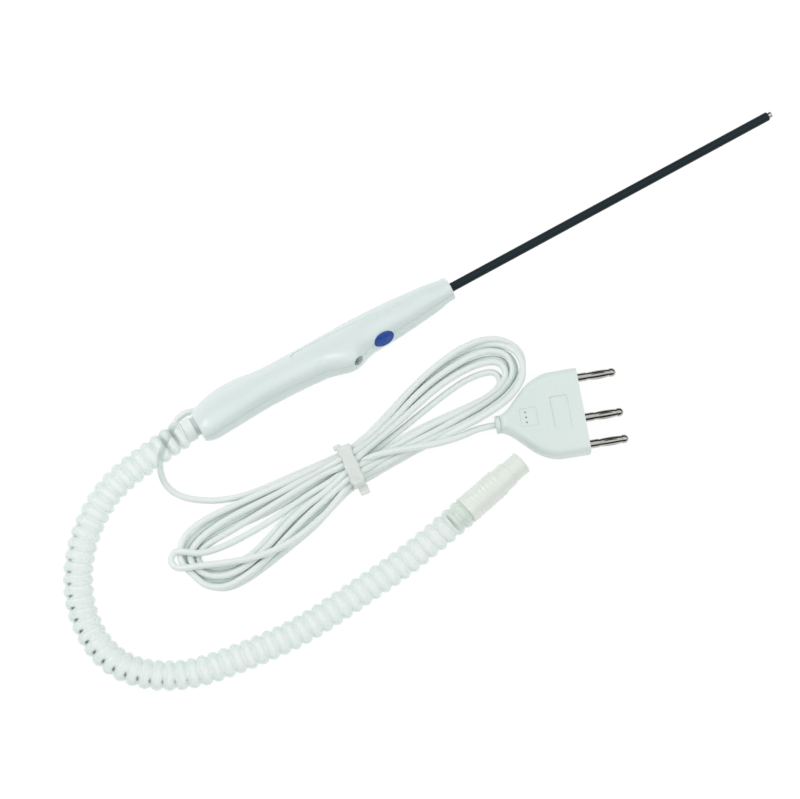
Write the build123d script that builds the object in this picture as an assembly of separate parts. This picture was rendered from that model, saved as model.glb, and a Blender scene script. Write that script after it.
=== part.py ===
from build123d import *
import math
import os

# Suction electrosurgical pencil, lying on its side on a table, with its smoke hose and its cord.
# World frame in millimetres: +X along the shaft towards its tip, +Z up, the table at Z = 0.
# The origin is under the centre of the pencil's own box, without the hose, the cord and the plug.
# The handle is modelled in its own frame, with X along the shaft, the nose at X = 0,
# Z towards the finger side with the button, and Y across the parting plane.

# Handle, driving sizes
handle_length = 132.0
hump_height = 16.3
bulge_depth = 14.7
half_width = 8.3
shell_wall = 1.8
cavity_start = 17.0
rear_block_length = 15.0
parting_gap = 0.1
nose_edge_radius = 0.7
button_elevation_deg = 38.5

# Clearances
fit_gap = 0.05
running_gap = 0.2
seat_gap = 0.1
overrun = 1.0

# Shaft
sleeve_radius = 2.1
tube_radius = 1.45
tube_bore_radius = 1.05
sleeve_reach = 171.0
bare_tip_length = 1.9
sleeve_depth = 14.0
tube_depth = 51.0
sleeve_end_radius = 0.4
tube_end_radius = 0.3
collar_radius = 3.6
collar_length = 4.0
collar_depth = 7.0

# Button and switch
button_depth = 39.1
button_half_length = 4.9
button_half_width = 3.2
button_top_height = 10.7
button_dome_rise = 0.5
bezel_width = 0.9
bezel_rise = 0.3
button_travel = 0.5
switch_gap = 0.05
flange_margin = 0.9
flange_height = 1.0
flange_top_height = 7.1
stem_radius = 1.4
dome_radius = 3.2
dome_rise = 0.7
dome_thickness = 0.2
board_top_height = 4.1
board_thickness = 1.0
board_length = 16.0
board_half_width = 4.0
rib_thickness = 1.4
clip_wall = 0.5
clip_length = 3.0
clip_leg_width = 2.0
clip_leg_thickness = 1.2

# Vent and suction channel
vent_depth = 54.8
vent_height = 14.7
vent_tilt_deg = 28.0
vent_half_length = 2.7
vent_half_width = 1.9
manifold_radius = 4.0
manifold_front = 48.5
manifold_length = 19.0
branch_radius = 3.3
channel_radius = 2.0
barb_radius = 3.0
barb_length = 8.0
barb_ridge = 0.25
barb_pitch = 2.0
inner_hose_wall = 1.1
hose_rib_front_margin = 12.0
hose_rib_rear_margin = 17.0

# Rear spigot and cuff
spigot_flange_radius = 5.4
spigot_flange_length = 2.5
neck_radius = 4.5
neck_reach = 6.5
cuff_radius = 5.5
cuff_length = 4.7
cuff_stand_off = 1.9
cuff_edge_radius = 0.4

# Cord clamp and inner leads
cord_radius = 1.5
cord_exit_depth = 9.4
clamp_radius = 2.0
clamp_reach = 7.0
clamp_length = 10.0
clamp_groove_depth = 0.35
clamp_groove_count = 3
lead_radius = 0.5
lead_exit_offset = 0.8
lead_run_offset = 2.2
lead_exit_length = 3.0
lead_run_height = -4.6
lead_slope_length = 22.0
lead_bend_radius = 1.0
lead_way_gap = 0.2
lead_joint_gap = 0.3

# Shallow grip panel on each flank, as places along the handle and heights above the shaft's axis
panel_recess_depth = 0.3
panel_tip_depth = 36.5
panel_tail_depth = 80.0
panel_tip_height = 2.6
panel_tip_half_height = 2.3
panel_tail_height = -1.2
panel_tail_half_height = 3.2
panel_tip_corner = 1.9
panel_tail_corner = 2.4

# Locating pins between the shells
locator_radius = 1.1
locator_length = 2.6
locator_boss_radius = 2.2
locator_front_depth = 21.0
locator_rear_margin = 6.0

# Handle sections as shares: place along handle_length, top of hump_height, bottom of bulge_depth
# and side of half_width. Zero is the nose.
handle_section_shares = [
    (0.000, 0.304, 0.415, 0.645),
    (0.066, 0.383, 0.486, 0.745),
    (0.132, 0.460, 0.551, 0.842),
    (0.220, 0.549, 0.612, 0.945),
    (0.293, 0.589, 0.646, 1.000),
    (0.322, 0.610, 0.660, 1.000),
    (0.351, 0.663, 0.670, 1.000),
    (0.381, 0.798, 0.677, 1.000),
    (0.410, 0.951, 0.680, 0.990),
    (0.439, 1.000, 0.680, 0.977),
    (0.469, 0.914, 0.680, 0.965),
    (0.498, 0.782, 0.680, 0.953),
    (0.527, 0.684, 0.677, 0.942),
    (0.564, 0.629, 0.677, 0.930),
    (0.644, 0.564, 0.687, 0.919),
    (0.689, 0.546, 0.700, 0.912),
    (0.739, 0.540, 0.755, 0.907),
    (0.780, 0.560, 0.870, 0.910),
    (0.820, 0.589, 0.950, 0.915),
    (0.878, 0.650, 0.925, 0.919),
    (0.922, 0.687, 0.810, 0.915),
    (0.952, 0.718, 0.673, 0.895),
    (0.977, 0.718, 0.524, 0.814),
    (1.000, 0.638, 0.388, 0.674),
]
top_fullness_share = 0.664
bottom_fullness_share = 0.584
cavity_end = handle_length - rear_block_length

# Smoke hose, its end connector and the places of its centreline
hose_radius = 6.9
hose_inner_radius = 5.5
hose_route = [
    (-176.0, 0.6, 12.5),
    (-197.0, -3.0, 10.6),
    (-215.0, -13.5, 7.6),
    (-229.5, -29.5, 6.9),
    (-237.5, -49.5, 6.9),
    (-236.0, -70.0, 6.9),
    (-225.5, -87.0, 6.9),
    (-207.0, -98.0, 6.9),
    (-183.0, -101.5, 6.9),
    (-154.0, -104.3, 6.9),
    (-123.0, -101.8, 6.9),
    (-92.0, -99.0, 6.9),
    (-62.4, -92.6, 6.9),
]
connector_sleeve_radius = 6.6
connector_sleeve_length = 20.0
connector_waist_radius = 5.9
connector_step_length = 5.9
connector_tip_radius = 5.35
connector_tip_length = 8.0
connector_tip_flare = 0.25
connector_flare_length = 0.9
connector_bore_radius = 4.2
connector_nipple_length = 8.0
connector_ridge_rise = 0.2
connector_ridge_pitch = 2.2
connector_angle_deg = 12.2

# Cord route, where it isn't coiled: from the handle to the hank, and from the hank to the plug
cord_exit_run = 12.0
cord_lead_route = [
    (-157.5, 9.0, 1.7),
    (-164.0, 5.0, 1.5),
    (-169.0, -1.2, 1.5),
    (-174.0, -7.5, 1.5),
    (-174.8, -15.0, 1.5),
    (-171.3, -22.0, 1.5),
    (-165.0, -28.0, 1.5),
    (-156.0, -32.2, 1.5),
    (-143.0, -35.4, 1.5),
    (-127.0, -37.2, 1.6),
    (-112.0, -39.8, 3.0),
]
cord_tail_route = [
    (-90.0, -55.6, 4.5),
    (-75.0, -55.4, 4.7),
    (-60.0, -56.8, 4.9),
    (-47.0, -58.8, 5.3),
]
cord_plug_run = 8.0
cord_corner_share = 0.45

# Hank of folded cord: plan outlines chosen on the outer and inner strands of its two loops
hank_height = 7.5
hank_lift = 0.9
hank_outline = [
    (-97.0, -39.9),
    (-73.5, -34.8),
    (-53.2, -27.8),
    (-35.0, -23.9),
    (-19.0, -24.1),
    (-8.6, -28.6),
    (-3.4, -37.0),
    (-4.4, -46.0),
    (-11.5, -53.3),
    (-24.0, -57.4),
    (-39.5, -57.2),
    (-61.6, -56.0),
    (-78.0, -57.3),
    (-97.0, -59.2),
    (-113.4, -61.2),
    (-128.5, -66.0),
    (-141.9, -68.5),
    (-155.6, -71.2),
    (-171.6, -70.8),
    (-180.5, -67.0),
    (-186.0, -57.5),
    (-188.5, -49.5),
    (-184.0, -41.5),
    (-171.5, -36.3),
    (-155.9, -35.6),
    (-126.0, -38.6),
]
hank_right_hole = [
    (-62.0, -45.2),
    (-43.0, -38.5),
    (-24.0, -38.0),
    (-19.5, -43.0),
    (-24.5, -46.6),
    (-44.0, -47.8),
]
hank_left_hole = [
    (-174.0, -52.5),
    (-159.0, -48.5),
    (-133.0, -50.0),
    (-133.0, -53.8),
    (-157.0, -59.8),
    (-170.0, -57.5),
]
tie_width = 5.8
tie_thickness = 0.8
tie_length = 23.5
tie_height = 10.6
tie_place = (-97.2, -49.6)
tie_corner_radius = 1.5

# Plug, in its own frame: X from the cable ring to the pins, Z up
plug_face_place = (7.3, -78.2)
plug_angle_deg = -20.0
plug_length = 40.2
plug_half_width = 20.0
plug_height = 11.0
plug_edge_radius = 3.0
plug_ring_radius = 4.1
plug_ring_length = 1.9
plug_neck_half_width = 3.4
plug_outline_shares = [
    (0.048, 0.170),
    (0.130, 0.250),
    (0.216, 0.404),
    (0.300, 0.575),
    (0.398, 0.762),
    (0.534, 0.924),
    (0.660, 0.995),
]
plug_panel_depth = 0.5
plug_panel_length = 8.2
plug_panel_width = 15.5
plug_panel_face_distance = 6.3
plug_panel_corner = 0.8
plug_hole_radius = 0.45
plug_hole_depth = 1.0
plug_hole_distance = 13.7
plug_hole_pitch = 2.4
plug_hole_count = 3
plug_frame_distance = 11.0
plug_frame_length = 8.0
plug_frame_width = 8.6
plug_frame_groove = 0.35
plug_frame_depth = 0.2
pin_radius = 2.0
pin_shank_radius = 1.8
pin_relief_length = 0.3
pin_length = 18.2
pin_spacing_wide = 19.05
pin_spacing_narrow = 12.7
pin_embed = 9.0
pin_foot_radius = 2.6
pin_foot_length = 2.0
pin_core_radius = 1.15
pin_base_length = 4.4
pin_tip_length = 3.0
pin_spring_wall = 0.35
pin_spring_waist = 0.3
pin_window_count = 4
pin_window_width = 0.8
pin_window_length = 6.4
parts_folder = "parts"


def quarter(x, side, height, fullness):
    """Curve from the side of a section to its top or bottom, fuller than an ellipse."""
    return Bezier(
        (x, side, 0),
        (x, side, height * fullness),
        (x, side * fullness, height),
        (x, 0, height),
    )


def section_face(x, top, bottom, side):
    """Closed handle section across X, with its own height above and below the parting line's sides."""
    outline = [
        quarter(x, side, top, top_fullness_share),
        quarter(x, -side, top, top_fullness_share),
        quarter(x, -side, -bottom, bottom_fullness_share),
        quarter(x, side, -bottom, bottom_fullness_share),
    ]
    return make_face(outline)


def handle_size(depth, shares_column, full_size):
    """Size of the handle at a depth behind the nose, between the sections of the table."""
    share = depth / handle_length
    for near, far in zip(handle_section_shares, handle_section_shares[1:]):
        if near[0] <= share <= far[0]:
            blend = (share - near[0]) / (far[0] - near[0])
            return full_size * (near[shares_column] + blend * (far[shares_column] - near[shares_column]))
    return full_size * handle_section_shares[-1][shares_column]


def section_at(depth, inset):
    return section_face(
        -depth,
        handle_size(depth, 1, hump_height) - inset,
        handle_size(depth, 2, bulge_depth) - inset,
        handle_size(depth, 3, half_width) - inset,
    )


def handle_outer():
    faces = [section_at(row[0] * handle_length, 0) for row in handle_section_shares]
    body = loft(faces)
    nose_edges = body.faces().sort_by(Axis.X)[-1].edges()
    return fillet(nose_edges, nose_edge_radius)


def handle_inner(inset):
    """The hollow between the nose block and the rear block, set in by a wall."""
    inner_depths = [
        row[0] * handle_length
        for row in handle_section_shares
        if cavity_start < row[0] * handle_length < cavity_end
    ]
    depths = [cavity_start] + inner_depths + [cavity_end]
    return loft([section_at(depth, inset) for depth in depths])


def rod(radius, start, end, y=0.0, z=0.0):
    """Round bar along X from the smaller depth to the larger one, behind the nose."""
    plane = Plane((-start, y, z), x_dir=(0, 1, 0), z_dir=(-1, 0, 0))
    return extrude(plane * Circle(radius), amount=end - start)


def ring(outer, inner, start, end, y=0.0, z=0.0):
    plane = Plane((-start, y, z), x_dir=(0, 1, 0), z_dir=(-1, 0, 0))
    return extrude(plane * (Circle(outer) - Circle(inner)), amount=end - start)


def block(start, end, y_low, y_high, z_low, z_high):
    """Square block between two depths behind the nose."""
    size = (end - start, y_high - y_low, z_high - z_low)
    centre = (-(start + end) / 2, (y_low + y_high) / 2, (z_low + z_high) / 2)
    return Pos(*centre) * Box(*size)


def barbs(start, end, toward_rear):
    """Barbed tail of a fitting: a stack of small cones on a plain tube."""
    count = int((end - start) / barb_pitch)
    pieces = [rod(barb_radius - barb_ridge, start, end)]
    for index in range(count):
        low = start + index * barb_pitch
        plane = Plane((-low, 0, 0), x_dir=(0, 1, 0), z_dir=(-1, 0, 0))
        wide = barb_radius if toward_rear else barb_radius - barb_ridge
        slim = barb_radius - barb_ridge if toward_rear else barb_radius
        far_plane = plane.offset(barb_pitch)
        pieces.append(loft([plane * Circle(wide), far_plane * Circle(slim)]))
    return Part() + pieces


# Depths behind the nose that several pieces share
tube_axis_gap_radius = tube_radius + fit_gap
sleeve_seat_radius = sleeve_radius + fit_gap
collar_end = collar_depth + collar_length
board_front = button_depth - board_length / 2
board_rear = button_depth + board_length / 2
board_bottom_height = board_top_height - board_thickness
clip_start = board_front + rib_thickness * 2 + overrun
manifold_rear = manifold_front + manifold_length
hose_rib_front_depth = manifold_rear + hose_rib_front_margin
hose_rib_rear_depth = cavity_end - hose_rib_rear_margin
locator_rear_depth = manifold_rear + locator_rear_margin
spigot_flange_end = handle_length - shell_wall * 4
spigot_flange_start = spigot_flange_end - spigot_flange_length
spigot_barb_start = spigot_flange_start - barb_length
inner_hose_radius = barb_radius + fit_gap + inner_hose_wall
inner_hose_start = manifold_rear + seat_gap
inner_hose_end = spigot_flange_start - seat_gap
clamp_front = cavity_end - clamp_reach
clamp_end = clamp_front + clamp_length
lead_run_depth = clamp_front - lead_slope_length
cuff_start = handle_length + cuff_stand_off
cuff_end = cuff_start + cuff_length
stem_bottom_height = board_top_height + dome_rise + button_travel + switch_gap
flange_bottom_height = flange_top_height - flange_height
ellipse_flange = (button_half_length + flange_margin, button_half_width + flange_margin)


def oval_prism(half_length, half_width_across, z_low, z_high):
    plane = Plane((-button_depth, 0, z_low))
    return extrude(plane * Ellipse(half_length, half_width_across), amount=z_high - z_low)


def vent_plane():
    """Plane through the vent hole's centre, square to the slope it opens on."""
    tilt = math.radians(vent_tilt_deg)
    return Plane(
        (-vent_depth, 0, vent_height),
        x_dir=(math.cos(tilt), 0, -math.sin(tilt)),
        z_dir=(math.sin(tilt), 0, math.cos(tilt)),
    )


def tube_rib(depth, hole_radius, hull):
    """Wall across the hollow that carries a tube, open below for the leads."""
    plate = block(depth, depth + rib_thickness, -half_width, half_width, -bulge_depth, hump_height)
    lead_way = block(
        depth - overrun,
        depth + rib_thickness + overrun,
        -lead_run_offset - lead_radius - lead_way_gap,
        lead_run_offset + lead_radius + lead_way_gap,
        -bulge_depth,
        0,
    )
    hole = rod(hole_radius, depth - overrun, depth + rib_thickness + overrun)
    return (plate & hull) - lead_way - hole


def bezel():
    """Low rim on the shells' own curve round the button."""
    depths = [row[0] * handle_length for row in handle_section_shares]
    reach = button_half_length + bezel_width
    front = max(depth for depth in depths if depth <= button_depth - reach)
    rear = min(depth for depth in depths if depth >= button_depth + reach)
    raised = loft([section_at(depth, -bezel_rise) for depth in depths if front <= depth <= rear])
    return raised & oval_prism(
        button_half_length + bezel_width, button_half_width + bezel_width, flange_top_height, hump_height
    )


def grip_panels():
    """What is cut away from both flanks: the skin over a long tongue that is rounded at its front."""
    tip_low = panel_tip_height - panel_tip_half_height
    tip_high = panel_tip_height + panel_tip_half_height
    tail_low = panel_tail_height - panel_tail_half_height
    tail_high = panel_tail_height + panel_tail_half_height
    corners = [
        (-panel_tip_depth, 0, tip_low),
        (-panel_tip_depth, 0, tip_high),
        (-panel_tail_depth, 0, tail_high),
        (-panel_tail_depth, 0, tail_low),
    ]
    tongue = make_face(Polyline(corners, close=True))
    front_corners = tongue.vertices().sort_by(Axis.X)[-2:]
    rear_corners = tongue.vertices().sort_by(Axis.X)[:2]
    tongue = fillet(front_corners, panel_tip_corner)
    rear_corners = tongue.vertices().sort_by(Axis.X)[:2]
    tongue = fillet(rear_corners, panel_tail_corner)
    prism = extrude(tongue, amount=half_width + overrun, dir=(0, 1, 0), both=True)
    depths = [row[0] * handle_length for row in handle_section_shares]
    front = max(depth for depth in depths if depth < panel_tip_depth)
    rear = min(depth for depth in depths if depth > panel_tail_depth)
    core = loft([section_at(depth, panel_recess_depth) for depth in depths if front <= depth <= rear])
    return prism - core


def locator_places():
    """Depth and height of each locating pin, in the solid nose and rear blocks and by the bulge."""
    return [
        (locator_front_depth, -handle_size(locator_front_depth, 2, bulge_depth) + shell_wall + locator_radius),
        (locator_rear_depth, handle_size(locator_rear_depth, 1, hump_height) - shell_wall - locator_radius),
    ]


def make_shells():
    outer = handle_outer()
    hollow = handle_inner(shell_wall)
    rib_hull = handle_inner(shell_wall / 2)
    shell = (outer - hollow) - grip_panels() + bezel()
    shell += tube_rib(board_front + rib_thickness, tube_axis_gap_radius, rib_hull)
    shell += tube_rib(board_rear - 2 * rib_thickness, tube_axis_gap_radius, rib_hull)
    shell += tube_rib(hose_rib_front_depth, inner_hose_radius + seat_gap, rib_hull)
    shell += tube_rib(hose_rib_rear_depth, inner_hose_radius + seat_gap, rib_hull)
    for depth, height in locator_places():
        boss = Pos(-depth, 0, height) * Rot(90, 0, 0) * Cylinder(locator_boss_radius, half_width)
        shell += boss & rib_hull
    shell -= rod(sleeve_seat_radius, -overrun, sleeve_depth + overrun)
    shell -= rod(tube_axis_gap_radius, 0, manifold_front)
    shell -= rod(collar_radius + fit_gap, collar_depth - fit_gap, collar_end + fit_gap)
    shell -= block(
        board_front - fit_gap,
        board_rear + fit_gap,
        -board_half_width - fit_gap,
        board_half_width + fit_gap,
        board_bottom_height - fit_gap,
        board_top_height + fit_gap,
    )
    shell -= oval_prism(
        button_half_length + running_gap,
        button_half_width + running_gap,
        flange_bottom_height,
        hump_height,
    )
    shell -= oval_prism(
        ellipse_flange[0] + running_gap,
        ellipse_flange[1] + running_gap,
        stem_bottom_height - button_travel,
        flange_top_height + seat_gap,
    )
    vent = extrude(vent_plane() * Ellipse(vent_half_length, vent_half_width), amount=hump_height, both=True)
    vent &= block(manifold_front - vent_depth, handle_length, -half_width, half_width, manifold_radius, hump_height + overrun)
    shell -= vent
    shell -= rod(inner_hose_radius + seat_gap, cavity_end - overrun, spigot_flange_start)
    shell -= rod(spigot_flange_radius + fit_gap, spigot_flange_start - fit_gap, spigot_flange_end + fit_gap)
    shell -= rod(neck_radius + fit_gap, spigot_flange_end, handle_length + overrun)
    shell -= rod(clamp_radius + fit_gap, clamp_front - fit_gap, clamp_end + fit_gap, z=-cord_exit_depth)
    shell -= rod(cord_radius + seat_gap, clamp_end, handle_length + overrun, z=-cord_exit_depth)
    reach = handle_length * 2
    left_half = Pos(0, reach / 2 + parting_gap / 2, 0) * Box(reach * 2, reach, reach)
    right_half = Pos(0, -reach / 2 - parting_gap / 2, 0) * Box(reach * 2, reach, reach)
    left = shell & left_half
    right = shell & right_half
    for depth, height in locator_places():
        pin_shape = Pos(-depth, parting_gap, height) * Rot(90, 0, 0) * Cylinder(
            locator_radius, locator_length, align=(Align.CENTER, Align.CENTER, Align.MIN)
        )
        left += pin_shape
        socket = Pos(-depth, 0, height) * Rot(90, 0, 0) * Cylinder(
            locator_radius + fit_gap,
            locator_length + seat_gap,
            align=(Align.CENTER, Align.CENTER, Align.MIN),
        )
        right -= socket
    return left, right


def make_button():
    cap = oval_prism(button_half_length, button_half_width, flange_bottom_height, button_top_height)
    dome_radius_long = (button_half_length**2 + button_dome_rise**2) / (2 * button_dome_rise)
    crown = Pos(-button_depth, 0, button_top_height - dome_radius_long) * Sphere(dome_radius_long)
    cap &= crown
    cap += oval_prism(*ellipse_flange, flange_bottom_height, flange_top_height)
    stem_height = flange_bottom_height - stem_bottom_height
    stem = Pos(-button_depth, 0, stem_bottom_height) * Cylinder(
        stem_radius, stem_height + flange_height / 2, align=(Align.CENTER, Align.CENTER, Align.MIN)
    )
    return cap + stem


def make_dome():
    """Snap dome of thin metal, standing on its rim on the board."""
    ball_radius = (dome_radius**2 + dome_rise**2) / (2 * dome_rise)
    shape = Sphere(ball_radius) - Sphere(ball_radius - dome_thickness)
    shape = Pos(-button_depth, 0, board_top_height + dome_rise - ball_radius) * shape
    room = Pos(-button_depth, 0, board_top_height) * Cylinder(
        dome_radius, dome_rise * 2, align=(Align.CENTER, Align.CENTER, Align.MIN)
    )
    return shape & room


def make_board():
    return block(
        board_front, board_rear, -board_half_width, board_half_width, board_bottom_height, board_top_height
    )


def make_clip():
    """Ring sprung on to the bare tube under the board, with a leg up to the board."""
    outer = tube_radius + fit_gap + clip_wall
    clip = ring(outer, tube_radius + fit_gap, clip_start, clip_start + clip_length)
    middle = clip_start + clip_length / 2
    clip += block(
        middle - clip_leg_width / 2,
        middle + clip_leg_width / 2,
        -clip_leg_thickness / 2,
        clip_leg_thickness / 2,
        outer - clip_wall / 2,
        board_bottom_height - fit_gap,
    )
    return clip


def make_tube():
    end = -(sleeve_reach + bare_tip_length)
    tube = ring(tube_radius, tube_bore_radius, end, tube_depth)
    tip_edges = tube.faces().sort_by(Axis.X)[-1].edges()
    outer_edge = tip_edges.sort_by(SortBy.RADIUS)[-1]
    return fillet(outer_edge, tube_end_radius)


def make_sleeve():
    sleeve = ring(sleeve_radius, tube_radius + fit_gap, -sleeve_reach, sleeve_depth)
    tip_edges = sleeve.faces().sort_by(Axis.X)[-1].edges()
    outer_edge = tip_edges.sort_by(SortBy.RADIUS)[-1]
    return fillet(outer_edge, sleeve_end_radius)


def make_manifold():
    """Tee that joins the suction tube, the vent hole and the inner hose."""
    body = rod(manifold_radius, manifold_front, manifold_rear)
    body += barbs(manifold_rear, manifold_rear + barb_length, True)
    slope = vent_plane()
    branch = extrude(slope * Circle(branch_radius), amount=-hump_height)
    branch &= handle_inner(shell_wall + seat_gap)
    branch &= block(manifold_front - branch_radius, manifold_rear, -half_width, half_width, 0, hump_height)
    body += branch
    body -= rod(tube_axis_gap_radius, manifold_front - overrun, tube_depth + fit_gap)
    body -= rod(channel_radius / 2 + tube_bore_radius / 2, tube_depth, manifold_rear)
    body -= rod(channel_radius, tube_depth + overrun * 2, manifold_rear + barb_length + overrun)
    branch_way = extrude(slope * Ellipse(vent_half_width, vent_half_width), amount=hump_height, both=True)
    branch_way &= block(manifold_front - branch_radius, manifold_rear, -half_width, half_width, 0, hump_height + overrun)
    return body - branch_way


def make_inner_hose():
    return ring(inner_hose_radius, barb_radius + fit_gap, inner_hose_start, inner_hose_end)


def make_spigot():
    spigot = barbs(spigot_barb_start, spigot_flange_start, False)
    spigot += rod(spigot_flange_radius, spigot_flange_start, spigot_flange_end)
    spigot += rod(neck_radius, spigot_flange_end, handle_length + neck_reach)
    return spigot - rod(channel_radius, spigot_barb_start - overrun, handle_length + neck_reach + overrun)


def make_cuff():
    cuff = ring(cuff_radius, neck_radius + fit_gap, cuff_start, cuff_end)
    outer_edges = cuff.edges().filter_by(GeomType.CIRCLE).group_by(SortBy.RADIUS)[-1]
    return fillet(outer_edges, cuff_edge_radius)


def make_clamp():
    """Ribbed sleeve moulded on to the cord's end, trapped between the shells."""
    clamp = rod(clamp_radius, clamp_front, clamp_end, z=-cord_exit_depth)
    pitch = clamp_length / (2 * clamp_groove_count + 1)
    for index in range(clamp_groove_count):
        start = clamp_front + pitch * (2 * index + 1)
        clamp -= ring(
            clamp_radius + overrun,
            clamp_radius - clamp_groove_depth,
            start,
            start + pitch,
            z=-cord_exit_depth,
        )
    return clamp


def make_lead(side, end_depth, end_height):
    """Insulated wire from the cord clamp, under the suction channel, up to where it is soldered."""
    exit_y = side * lead_exit_offset
    run_y = side * lead_run_offset
    points = [
        Vector(-clamp_front, exit_y, -cord_exit_depth),
        Vector(-clamp_front + lead_exit_length, exit_y, -cord_exit_depth),
        Vector(-lead_run_depth, run_y, lead_run_height),
        Vector(-end_depth, run_y, lead_run_height),
        Vector(-end_depth, run_y, end_height),
    ]
    path = FilletPolyline(points, radius=lead_bend_radius)
    start_plane = Plane(path @ 0, z_dir=path % 0)
    return sweep(start_plane * Circle(lead_radius), path=path)


def corner_radii(points):
    """One radius for each corner: as large as its two runs allow."""
    radii = []
    for before, corner, after in zip(points, points[1:], points[2:]):
        run_in = corner - before
        run_out = after - corner
        half_turn = math.radians(run_in.get_angle(run_out)) / 2
        shorter = min(run_in.length, run_out.length)
        radii.append(cord_corner_share * shorter / math.tan(half_turn))
    return radii


def swept_tube(name, points, outer, inner):
    radii = corner_radii(points)
    path = FilletPolyline(points, radius=radii)
    start_plane = Plane(path @ 0, z_dir=path % 0)
    section = start_plane * Circle(outer)
    if inner > 0:
        section = start_plane * (Circle(outer) - Circle(inner))
    tube = sweep(section, path=path)
    expected = math.pi * (outer**2 - inner**2) * path.length
    print(name, "radii", [round(r, 1) for r in radii])
    print(name, "length", round(path.length, 1), "volume share", round(tube.volume / expected, 4))
    return tube


def make_connector():
    """Stepped end fitting of the hose: sleeve, waist and a flared tip, with a nipple in the hose."""
    sleeve_end = connector_sleeve_length
    step_end = sleeve_end + connector_step_length
    tip_end = step_end + connector_tip_length
    flare = connector_tip_radius + connector_tip_flare
    nipple = hose_inner_radius - fit_gap
    outline = [
        (-connector_nipple_length, connector_bore_radius),
        (-connector_nipple_length, nipple),
        (0, nipple),
        (0, connector_sleeve_radius),
    ]
    ridge_count = int(sleeve_end / connector_ridge_pitch) - 1
    for index in range(ridge_count):
        start = connector_ridge_pitch * (index + 1)
        outline += [
            (start - connector_ridge_pitch / 2, connector_sleeve_radius),
            (start, connector_sleeve_radius - connector_ridge_rise),
        ]
    outline += [
        (sleeve_end - connector_ridge_pitch / 2, connector_sleeve_radius),
        (sleeve_end, connector_sleeve_radius - connector_ridge_rise),
        (sleeve_end, connector_waist_radius),
        (step_end, connector_waist_radius),
        (step_end, connector_tip_radius),
        (tip_end - connector_flare_length, connector_tip_radius),
        (tip_end - connector_flare_length / 2, flare),
        (tip_end, connector_tip_radius),
        (tip_end, connector_bore_radius),
    ]
    profile = make_face(Polyline([(x, y) for x, y in outline], close=True))
    fitting = revolve(profile, Axis.X)
    place = Pos(*hose_route[-1]) * Rot(0, 0, connector_angle_deg)
    return place * fitting


def make_hank():
    outline = make_face(Spline([Vector(x, y, 0) for x, y in hank_outline], periodic=True))
    right_hole = make_face(Spline([Vector(x, y, 0) for x, y in hank_right_hole], periodic=True))
    left_hole = make_face(Spline([Vector(x, y, 0) for x, y in hank_left_hole], periodic=True))
    hank = extrude(outline - right_hole - left_hole, amount=hank_height)
    tie_bed = Pos(*tie_place, 0) * Box(
        tie_width + 2 * seat_gap, tie_length * 2, hank_lift, align=(Align.CENTER, Align.CENTER, Align.MIN)
    )
    return hank - tie_bed


def make_tie():
    """Flat band round the middle of the hank, with a short free tab."""
    outer = Rectangle(tie_length, tie_height)
    outer = fillet(outer.vertices(), tie_corner_radius)
    inner = Rectangle(tie_length - 2 * tie_thickness, tie_height - 2 * tie_thickness)
    inner = fillet(inner.vertices(), tie_corner_radius - tie_thickness / 2)
    plane = Plane((tie_place[0] - tie_width / 2, tie_place[1], tie_height / 2), x_dir=(0, 1, 0), z_dir=(1, 0, 0))
    band = extrude(plane * (outer - inner), amount=tie_width)
    return band


def plug_place():
    angle = math.radians(plug_angle_deg)
    origin = (
        plug_face_place[0] - plug_length * math.cos(angle),
        plug_face_place[1] - plug_length * math.sin(angle),
        plug_height / 2,
    )
    return Pos(*origin) * Rot(0, 0, plug_angle_deg)


def pin_offsets():
    half_span = (pin_spacing_wide + pin_spacing_narrow) / 2
    return [half_span, half_span - pin_spacing_wide, -half_span]


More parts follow.
